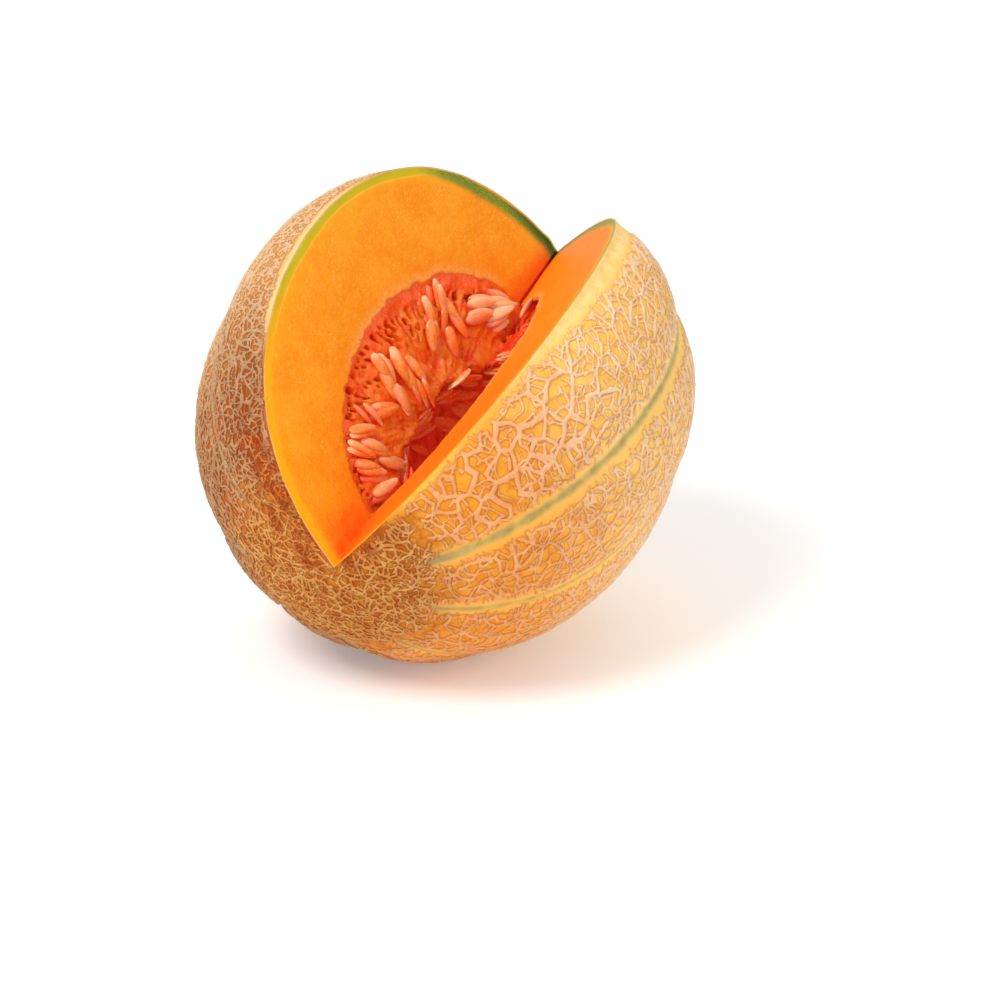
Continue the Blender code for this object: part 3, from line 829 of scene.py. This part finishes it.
def flesh_face(name, psi, away, material):
    """One cut face, from the cavity's rim out to the skin, faintly uneven as a knife leaves it."""
    across, out = 420, 62
    phi = np.linspace(-math.pi / 2, math.pi / 2, across)
    directions = hub_directions(np.full(across, psi), phi)
    outer = skin_from_hub(directions)
    height, _ = net_at(outer)
    outer_reach = np.linalg.norm(outer - HUB, axis=1) + skin_lift(outer, height)
    inner_reach = np.linalg.norm(cavity_from_hub(directions) - HUB, axis=1)
    inner_reach += 0.9 * noise(directions * 40, 3.4, 41) + 0.5 * noise(directions * 40, 1.5, 42) - 0.2
    share = np.linspace(0.0, 1.0, out)
    share = 0.72 * share + 0.28 * share * share * (3 - 2 * share)
    reach = inner_reach[:, None] + (outer_reach - inner_reach)[:, None] * share
    points = HUB + directions[:, None, :] * reach[:, :, None]
    points = points.reshape(-1, 3)
    skin_mm = (outer_reach[:, None] - reach).ravel()
    hole_mm = (reach - inner_reach[:, None]).ravel()
    sink = 0.16 * noise(points, 7.0, 51) + 0.07 * noise(points, 2.0, 52) - 0.1
    sink *= smooth(skin_mm, 0.0, 1.5)
    # The edge of the hole dips into the pulp, so that no gap shows between them
    sink -= 0.5 * (1 - smooth(hole_mm, 0.0, 1.1)) + 0.12 * (1 - smooth(skin_mm, 0.0, 0.8))
    on_edge = np.repeat(np.abs(np.abs(phi) - math.pi / 2) < 1e-6, out)
    points += away * np.where(on_edge, 0.0, sink)[:, None]
    index = np.arange(across * out).reshape(across, out)
    corners = (index[:-1, :-1], index[1:, :-1], index[1:, 1:], index[:-1, 1:])
    quads = np.stack(corners, axis=-1).reshape(-1, 4)
    world = to_world(points)
    a, b, d = (world[quads[:, k]] for k in (0, 1, 3))
    if (np.cross(b - a, d - a) @ (TURN @ away)).sum() < 0:
        quads = quads[:, ::-1]
    corner = HUB + np.array((0.0, 0.0, 68.0))
    from_corner = np.linalg.norm((points - corner) * np.array((1.7, 1.7, 1.0)), axis=1)
    values = {
        "rest": points,
        "skin_mm": skin_mm,
        "hole_mm": hole_mm,
        "apex_mm": np.hypot(points[:, 0] - CUT_EDGE[0], points[:, 1] - CUT_EDGE[1]),
        "green": smooth(-points[:, 2], -62.0, 20.0),
        "dark": smooth(-points[:, 2], 48.0, 90.0),
        "front": 1 - smooth(from_corner, 2.0, 24.0),
        "right": np.full(len(points), float(psi == CUT_RIGHT)),
    }
    mesh_object(name, world, quads, material, None, values, "melon_body")


def cavity_wall(material):
    """The wall of the seed cavity, scored crosswise where the pulp has come away."""
    psi, phi, faces, _, _ = fan_grid(CUT_LEFT, 2 * math.pi + CUT_RIGHT, WALL_STEP, 46.0)
    directions = hub_directions(psi, phi)
    points = cavity_from_hub(directions)
    score = noise(points * np.array((0.35, 0.35, 1.0)), 1.9, 61)
    inward = unit(-points / CAVITY_RADII**2)
    points = points - inward * (2.0 + 0.9 * smooth(score, 0.1, 0.5) + 0.5 * noise(points, 5.0, 62))[:, None]
    # Its edges stay under the cut faces
    for edge, away in ((CUT_LEFT, LEFT_OUT), (2 * math.pi + CUT_RIGHT, RIGHT_OUT)):
        points -= 1.3 * (np.abs(psi - edge) < 1e-9)[:, None] * away
    world = to_world(points)
    mesh_object("cavity_wall", world, faces[:, ::-1], material, None, {"rest": points}, "melon_body")


def surface_net(field, origin, step):
    """The zero surface of a field on a grid as points and quads, with the negative side inside."""
    inside = field < 0
    shape = field.shape
    cells = tuple(n - 1 for n in shape)
    total = np.zeros(cells, np.int8)
    for i in (0, 1):
        for j in (0, 1):
            for k in (0, 1):
                total += inside[i : cells[0] + i, j : cells[1] + j, k : cells[2] + k]
    active = (total > 0) & (total < 8)
    at = np.argwhere(active)
    number = np.full(cells, -1, np.int64)
    number[tuple(at.T)] = np.arange(len(at))
    position = np.zeros((len(at), 3))
    crossings = np.zeros(len(at))
    corners = [(i, j, k) for i in (0, 1) for j in (0, 1) for k in (0, 1)]
    for low in corners:
        for axis in range(3):
            if low[axis]:
                continue
            high = list(low)
            high[axis] = 1
            v0 = field[tuple((at + low).T)]
            v1 = field[tuple((at + high).T)]
            cross = (v0 < 0) != (v1 < 0)
            share = np.where(cross, v0 / np.where(v0 == v1, 1.0, v0 - v1), 0.0)
            place = np.array(low, float) + share[:, None] * (np.array(high) - low)
            position += np.where(cross[:, None], place, 0.0)
            crossings += cross
    points = origin + (at + position / crossings[:, None]) * step
    quads = []
    for axis in range(3):
        u, v = (axis + 1) % 3, (axis + 2) % 3
        one = [slice(1, n - 1) for n in shape]
        two = list(one)
        one[axis] = slice(0, shape[axis] - 1)
        two[axis] = slice(1, shape[axis])
        a, b = inside[tuple(one)], inside[tuple(two)]
        for turned, changed in ((False, a & ~b), (True, ~a & b)):
            where = np.argwhere(changed)
            where[:, u] += 1
            where[:, v] += 1
            ring = []
            for du, dv in ((0, 0), (1, 0), (1, 1), (0, 1)):
                cell = where.copy()
                cell[:, u] -= du
                cell[:, v] -= dv
                ring.append(number[tuple(cell.T)])
            quad = np.stack(ring, axis=1)
            quads.append(quad[:, ::-1] if turned else quad)
    return points, np.concatenate(quads)


def hollow_frame():
    c, s = math.cos(HOLLOW_SIDE), math.sin(HOLLOW_SIDE)
    turn = np.array(((c, -s, 0.0), (s, c, 0.0), (0.0, 0.0, 1.0)))
    return turn, np.array((c, s, 0.0)) * HOLLOW_OFFSET + np.array((0.0, 0.0, HOLLOW_SHIFT))


def egg_distance(points, radii):
    k0 = np.linalg.norm(points / radii, axis=-1)
    k1 = np.linalg.norm(points / radii**2, axis=-1) + 1e-9
    return k0 * (k0 - 1) / k1


def wall_distance(points):
    """Millimetres outside the seed cavity's wall, under 0 inside it."""
    return egg_distance(points - np.array((0.0, 0.0, CAVITY_SHIFT)), CAVITY_RADII)


def in_front(points):
    """Millimetres in front of the left and of the right cut face, under 0 behind them."""
    return (points - CUT_EDGE) @ LEFT_OUT, (points - CUT_EDGE) @ RIGHT_OUT


# Rows of slits in the pulp's web: the depth under the cavity's wall, the pitch and half the length
SLIT_ROWS = ((2.4, 2.3, 1.5), (5.0, 2.8, 1.9), (8.2, 3.6, 2.1), (11.4, 5.2, 1.6))
NO_SLIT = 9.0


def slit_rows(around, depth, left, seed):
    """Slits in the web between the flesh and the seeds, as mm outside the nearest one. Each runs inwards."""
    nearest = np.full(len(around), NO_SLIT)
    for row, (middle, pitch, length) in enumerate(SLIT_ROWS):
        x = around / pitch + 0.37 * row
        for k in (-1, 0, 1):
            n = np.floor(x) + k
            draws = [edge_draw(n + 900, np.full(len(n), row), seed + i) for i in range(5)]
            u = (x - n - 0.5 - 0.5 * (draws[0] - 0.5)) * pitch
            v = depth - middle - 1.4 * (draws[1] - 0.5)
            wide = 0.42 + 0.85 * draws[2] ** 1.5
            long = length * (0.6 + 0.7 * draws[3])
            u = u + 0.35 * (draws[4] - 0.5) * v
            w = np.maximum(-left - 4.5, 0.0) * 0.6
            away = np.sqrt((u / wide) ** 2 + (v / long) ** 2 + w * w)
            away = (away - 1) * np.minimum(wide, long)
            away = np.where(draws[1] * 0.6 + draws[3] * 0.4 > 0.68, NO_SLIT, away)
            nearest = np.minimum(nearest, away)
    return nearest


def pulp(material):
    """The pulp as one ragged surface: a bed for the seeds, and towards the flesh a web with slits in it."""
    low = np.array((-42.0, -42.0, CAVITY_SHIFT - 58.5))
    shape = (np.array((84.0, 84.0, 117.0)) / PULP_STEP).astype(int)
    axes = [low[k] + np.arange(shape[k]) * PULP_STEP for k in range(3)]
    p = np.stack(np.meshgrid(*axes, indexing="ij"), axis=-1)
    wall = wall_distance(p)
    turn, middle = hollow_frame()
    hollow = egg_distance((p - middle) @ turn, HOLLOW_RADII)
    left, right = in_front(p)
    wedge = np.minimum(left, right)
    # The outer side reaches a little under the flesh beside the cuts, and elsewhere isn't seen
    outer = wall - 1.5 * smooth(wedge, -6.0, -1.0) + 0.3
    field = np.maximum(np.maximum(outer, -hollow), wedge)
    near = (field < 6.0) & (field > -6.0)
    q = p[near]
    f_hollow, f_left, f_right = hollow[near], left[near], right[near]
    f_wedge = np.minimum(f_left, f_right)
    deep = -wall[near]
    along = q[:, 2] - CAVITY_SHIFT
    spread = np.arctan2(along / CAVITY_HALF_LENGTH, np.hypot(q[:, 0], q[:, 1]) / CAVITY_RADIUS)
    around = spread * 47
    lumps = noise(q, 4.6, 71) * 1.0 + noise(q, 2.1, 72) * 0.5 + noise(q, 9.0, 73) * 0.8
    strand_at = np.stack((around / 1.7, deep / 7.0, f_left / 2.6), axis=1)
    strands = 1 - np.abs(noise(strand_at, 1.0, 81)) * 2
    fringe_at = np.stack((around / 1.5, deep / 12.0, f_left / 1.5), axis=1)
    fringe = np.abs(noise(fringe_at, 1.0, 84))
    # The hollow's deep side is smooth flesh, scored crosswise, and its lips are a ragged fringe
    lip = smooth(f_wedge, -13.0, -4.0)
    score = noise(q * np.array((0.3, 0.3, 1.0)), 1.5, 85)
    hollow_side = -f_hollow + 0.6 + lip * (lumps * 1.5 + fringe * 2.2 - 0.6)
    hollow_side += (1 - lip) * 1.1 * smooth(score, 0.15, 0.4)
    set_back = np.minimum(f_left, f_right + RIGHT_SET_BACK)
    cut_side = set_back + 0.5 + np.maximum(lumps, -0.7) * 0.9 - 0.55 * strands
    cut_side += 0.8 * smooth(deep, 10.0, 22.0)
    border = 1 - smooth(deep, 0.2, 3.0)
    cut_side = cut_side * (1 - border) + (set_back + 0.25 + 0.25 * lumps) * border
    # A smooth band without slits runs along the cavity's top
    top_band = 3.4 * smooth(around, 6.0, -12.0)
    slit_around = around + 0.8 * noise(q, 3.0, 86)
    slit_depth = deep - top_band + 0.5 * noise(q, 2.5, 87)
    slits = slit_rows(slit_around, slit_depth, f_left, 90)
    slits = np.where(f_left < -7.5, NO_SLIT, slits)
    made = np.maximum(np.maximum(cut_side, hollow_side), outer[near])
    field[near] = np.maximum(made, -slits)
    for axis in range(3):
        for end in (0, -1):
            where = [slice(None)] * 3
            where[axis] = end
            field[tuple(where)] = 5.0
    points, quads = surface_net(field.astype(np.float32), low, PULP_STEP)
    # The side that lies against the flesh, well behind the cuts, is left off
    centre = points[quads].mean(axis=1)
    hidden = (wall_distance(centre) > -1.2) & (np.minimum(*in_front(centre)) < -7.0)
    quads = quads[~hidden]
    used, index = np.unique(quads, return_inverse=True)
    points, quads = points[used], index.reshape(-1, 4)
    cut = -np.minimum(*in_front(points))
    from_wall = -wall_distance(points)
    in_hollow = 1 - smooth(egg_distance((points - middle) @ turn, HOLLOW_RADII), 0.5, 3.0)
    values = {
        "rest": points,
        # How far back behind the cuts the pulp lies, for its painted shade
        "recess_shade": smooth(cut, 1.2, 4.2),
        "hollow": in_hollow * smooth(cut, 3.0, 13.0),
        "border": 1 - smooth(from_wall, 0.5, 9.0),
    }
    mesh_object("pulp", to_world(points), quads, material, None, values, "seed_pulp")


# Groups of seeds on the pulp's cut face, in millimetres: the place along the core and out from it, the
# spread and the number of seeds, all as in the part's source. The last value is not in the source: the way
# that they lie here, as an angle from straight towards the core, turned towards the stem
SEED_GROUPS = (
    (44.5, 10.5, 9.5, 12, 0.62),
    (29.0, 17.0, 4.0, 2, 0.62),
    (11.0, 17.0, 8.5, 7, -0.2),
    (-19.0, 19.0, 8.5, 8, -0.45),
    (-41.0, 10.0, 7.0, 4, 0.95),
)
# The source's rules for where a seed may lie on the cut face, and on the hollow's wall
SEED_LENGTH = 10.8
SEED_SPACING = 5.2
SEED_MARGIN = 5.0
SEED_HOLLOW_SHARE = 1.04
SEED_TRIES = 400
WALL_SEED_SPACING = 7.5
WALL_SEED_MARGIN = 7.5
WALL_SEED_CLEARANCE = math.radians(12)
WALL_SEED_END = 0.93
WALL_SEED_TRIES = 500
# One seed, which the source doesn't have, stands in a pocket of the right cut near the cavity's stem end
POCKET_SEED = (7.5, -46.0)


def on_cut_face(out, along, turn=CUT_LEFT):
    return CUT_EDGE + np.array((out * math.cos(turn), out * math.sin(turn), along))


def in_cavity(point, margin):
    across = math.hypot(point[0], point[1]) / (CAVITY_RADIUS - margin)
    along = (point[2] - CAVITY_SHIFT) / (CAVITY_HALF_LENGTH - margin)
    return across * across + along * along < 1


def seed_places():
    """Every seed's place and the way out of the face under it, as in the part's source, and its heading."""
    draw = random.Random(5)
    turn, middle = hollow_frame()
    taken = []
    places = []
    for along, out, spread, count, heading in SEED_GROUPS:
        lie = -on_cut_face(math.cos(heading), math.sin(heading)) + CUT_EDGE
        left = count
        for _ in range(SEED_TRIES):
            angle = draw.uniform(0, math.tau)
            reach = spread * math.sqrt(draw.random())
            place = on_cut_face(out + reach * math.sin(angle), along + reach * math.cos(angle))
            near = any(np.linalg.norm(place - other) < SEED_SPACING for other in taken)
            share = np.linalg.norm(((place - middle) @ turn) / HOLLOW_RADII)
            if left and not near and in_cavity(place, SEED_MARGIN) and share > SEED_HOLLOW_SHARE:
                left -= 1
                taken.append(place)
                places.append((place, LEFT_OUT, lie))
    half = (CUT_LEFT - CUT_RIGHT) / 2
    # More seeds lie loosely over the hollow's wall
    for _ in range(WALL_SEED_TRIES):
        azimuth = draw.uniform(-math.pi, math.pi)
        t = draw.uniform(-WALL_SEED_END, WALL_SEED_END)
        ring = math.sqrt(1 - t * t)
        spot = np.array((ring * math.cos(azimuth), ring * math.sin(azimuth), t))
        place = turn @ (spot * HOLLOW_RADII) + middle
        to_cut = math.atan2(place[1] - CUT_EDGE[1], place[0] - CUT_EDGE[0]) - (CUT_LEFT + CUT_RIGHT) / 2
        in_cut = abs((to_cut + math.pi) % math.tau - math.pi) < half + WALL_SEED_CLEARANCE
        near = any(np.linalg.norm(place - other) < WALL_SEED_SPACING for other in taken)
        if in_cavity(place, WALL_SEED_MARGIN) and not in_cut and not near:
            taken.append(place)
            normal = turn @ (spot / HOLLOW_RADII)
            outward = -normal / np.linalg.norm(normal)
            inward = middle - place
            lie = inward - outward * (inward @ outward)
            if np.linalg.norm(lie) < SEED_LENGTH:
                lie = np.array((0.0, 0.0, 1.0)) - outward * outward[2]
            places.append((place, outward, lie / np.linalg.norm(lie)))
    return places


def seed_shape():
    """One seed along X: a plump lens with a thin rim, drawn to a blunt point at one end."""
    around, along = 20, 14
    v = np.linspace(0.0, math.pi, along)[1:-1]
    h = np.linspace(0.0, math.tau, around, endpoint=False)
    x = -np.cos(v)
    girth = np.sin(v) ** 0.74 * (1 - 0.42 * np.clip((x + 0.2) / 1.2, 0, 1) ** 1.5)
    rows = []
    for xi, g in zip(x, girth):
        y = np.cos(h)
        z = np.sin(h)
        z = np.sign(z) * np.abs(z) ** 1.25
        rows.append(np.stack((np.full(around, xi), y * g, z * g), axis=1))
    points = np.concatenate([[(-1.0, 0, 0)], *rows, [(1.0, 0, 0)]])
    faces = []
    for r in range(along - 3):
        for k in range(around):
            a, b = 1 + r * around + k, 1 + r * around + (k + 1) % around
            faces += [(a, b, b + around), (a, b + around, a + around)]
    last = len(points) - 1
    for k in range(around):
        a, b = 1 + k, 1 + (k + 1) % around
        faces.append((0, b, a))
        faces.append((last, a + (along - 3) * around, b + (along - 3) * around))
    return points, np.array(faces)


def seeds(material):
    """The seeds that the source places, each with up to two more beside it, and one in a pocket."""
    draw = random.Random(8)
    extra = random.Random(9)
    shape, triangles = seed_shape()
    edge = np.abs(shape[:, 1]) / (np.abs(shape[:, 1]).max())
    pocket = on_cut_face(*POCKET_SEED, CUT_RIGHT)
    places = [(*place, True) for place in seed_places()]
    places.append((pocket - 1.5 * RIGHT_OUT, RIGHT_OUT, np.array((0.0, 0.0, -1.0)), False))
    # All but the pocket's seed are turned partly square to the line of sight of the photo, a fixed direction
    # from in front and above, so that they look as long as there
    line_of_sight = TURN.T @ np.array((0.0, -0.94, 0.34))
    points = []
    faces = []
    numbers = {"tint_and_painted_shade": [], "edge": [], "end": [], "pale": []}
    for place, outward, lie, many in places:
        swing = draw.gauss(0.0, 0.26 if many else 0.01)
        tangent = lie * math.cos(swing) + np.cross(outward, lie) * math.sin(swing)
        tangent = tangent + outward * draw.uniform(-0.3, 0.15)
        if many:
            tangent = tangent - 0.55 * (tangent @ line_of_sight) * line_of_sight
        tangent /= np.linalg.norm(tangent)
        flat_across = np.cross(outward, tangent)
        flat_across /= np.linalg.norm(flat_across)
        roll = draw.uniform(-0.9, 0.9)
        across = flat_across + outward * roll
        across /= np.linalg.norm(across)
        facing = np.cross(tangent, across)
        beside = [(0.0, 0.0, 0.0, 0.0)]
        for side in (-1, 1):
            if many and extra.random() < 0.58:
                over = side * extra.uniform(1.2, 1.9) * (0.6 if side > 0 else 1.0)
                aside = -math.copysign(side * extra.uniform(0.6, 1.7), side * roll)
                beside.append((over, aside, extra.uniform(-2.2, 2.2), extra.gauss(0.0, 0.15)))
        for over, aside, forwards, twist in beside:
            t = tangent * math.cos(twist) + across * math.sin(twist)
            c = across * math.cos(twist) - tangent * math.sin(twist)
            at = place + outward * 0.45 + facing * over + flat_across * aside + tangent * forwards
            if many and not in_cavity(at, 2.5):
                continue
            size = extra.uniform(0.92, 1.08)
            local = shape * SEED_HALF_SIZE * size
            local[:, 2] += 0.35 * np.cos(shape[:, 0] * 1.4)
            faces.append(triangles + len(points) * len(shape))
            points.append(at + local[:, :1] * t + local[:, 1:2] * c + local[:, 2:] * np.cross(t, c))
            level = (points[-1] - place) @ outward
            tint = extra.uniform(0.0, 0.35)
            # A random tint for each seed, deeper where it sinks into the pulp: partly the pulp's colour,
            # partly painted shade
            tint_and_painted_shade = np.clip(tint + 0.9 * (1 - smooth(level, -0.8, 1.0)), 0, 1)
            end = shape[:, 0] * extra.choice((-1, 1))
            # Painted light on the seeds towards the stem end; a few others are paler at random
            lit_and_pale = 0.85 if at[2] < -33 else extra.choice((0.0, 0.0, 0.35))
            for key, data in zip(numbers, (tint_and_painted_shade, edge, end, np.full(len(shape), lit_and_pale))):
                numbers[key].append(data)
    points = np.concatenate(points)
    values = {"rest": points}
    for key, parts in numbers.items():
        values[key] = np.concatenate(parts)
    mesh_object("seeds", to_world(points), np.concatenate(faces), material, None, values, "seed_pulp")


def floor():
    mesh = bpy.data.meshes.new("floor")
    r = 3.0
    mesh.from_pydata([(-r, -r, 0), (r, -r, 0), (r, r, 0), (-r, r, 0)], [], [(0, 1, 2, 3)])
    material = bpy.data.materials.new("floor")
    material.use_nodes = True
    shader = material.node_tree.nodes["Principled BSDF"]
    shader.inputs["Base Color"].default_value = (0.93, 0.93, 0.93, 1.0)
    shader.inputs["Roughness"].default_value = 0.7
    shader.inputs["Emission Color"].default_value = (1.0, 1.0, 1.0, 1.0)
    shader.inputs["Emission Strength"].default_value = 0.2
    mesh.materials.append(material)
    obj = bpy.data.objects.new("floor", mesh)
    obj.location.z = -0.00005
    bpy.context.scene.collection.objects.link(obj)


def light(name, place, target, size, power, colour=(1.0, 1.0, 1.0)):
    data = bpy.data.lights.new(name, "AREA")
    data.energy = power
    data.size = size
    data.color = colour
    obj = bpy.data.objects.new(name, data)
    obj.location = place
    obj.rotation_euler = (Vector(target) - Vector(place)).to_track_quat("-Z", "Y").to_euler()
    bpy.context.scene.collection.objects.link(obj)


def studio():
    scene = bpy.context.scene
    scene.view_settings.view_transform = "Standard"
    scene.view_settings.look = "None"
    world = bpy.data.worlds.new("studio")
    world.use_nodes = True
    world.node_tree.nodes["Background"].inputs["Color"].default_value = (1.0, 1.0, 1.0, 1.0)
    world.node_tree.nodes["Background"].inputs["Strength"].default_value = 0.62
    scene.world = world
    middle = (0.0, 0.0, 0.07)
    light("key", (-0.55, -0.55, 1.05), middle, 0.5, 9.0)
    light("fill", (0.85, -0.55, 0.55), middle, 0.9, 2.0)
    light("back", (0.1, 0.9, 0.9), middle, 0.9, 2.0)


def camera():
    """Aimed so that the fruit sits where it does in the photograph's square, with no shift."""
    up = np.array((0.0, math.sin(CAMERA_ELEVATION), math.cos(CAMERA_ELEVATION)))
    back = np.array((0.0, -math.cos(CAMERA_ELEVATION), math.sin(CAMERA_ELEVATION)))
    eye = CENTRE + back * CAMERA_DISTANCE
    half = PICTURE_SIDE / 2
    across = (half - MIDDLE_ACROSS) / FOCAL_PIXELS
    down = (half - MIDDLE_DOWN) / FOCAL_PIXELS
    aim = np.array((1.0, 0.0, 0.0)) * across - up * down - back
    data = bpy.data.cameras.new("camera")
    data.sensor_width = 36.0
    data.lens = data.sensor_width * FOCAL_PIXELS / PICTURE_SIDE
    data.clip_start = 0.05
    data.clip_end = 50.0
    obj = bpy.data.objects.new("camera", data)
    obj.location = Vector(eye * MM)
    obj.rotation_euler = Vector(aim).to_track_quat("-Z", "Y").to_euler()
    bpy.context.scene.collection.objects.link(obj)
    bpy.context.scene.camera = obj


rind(rind_material())
flesh = flesh_material()
flesh_face("flesh_left", CUT_LEFT, LEFT_OUT, flesh)
flesh_face("flesh_right", CUT_RIGHT, RIGHT_OUT, flesh)
cavity_wall(wall_material())
pulp(pulp_material())
seeds(seed_material())
floor()
studio()
camera()
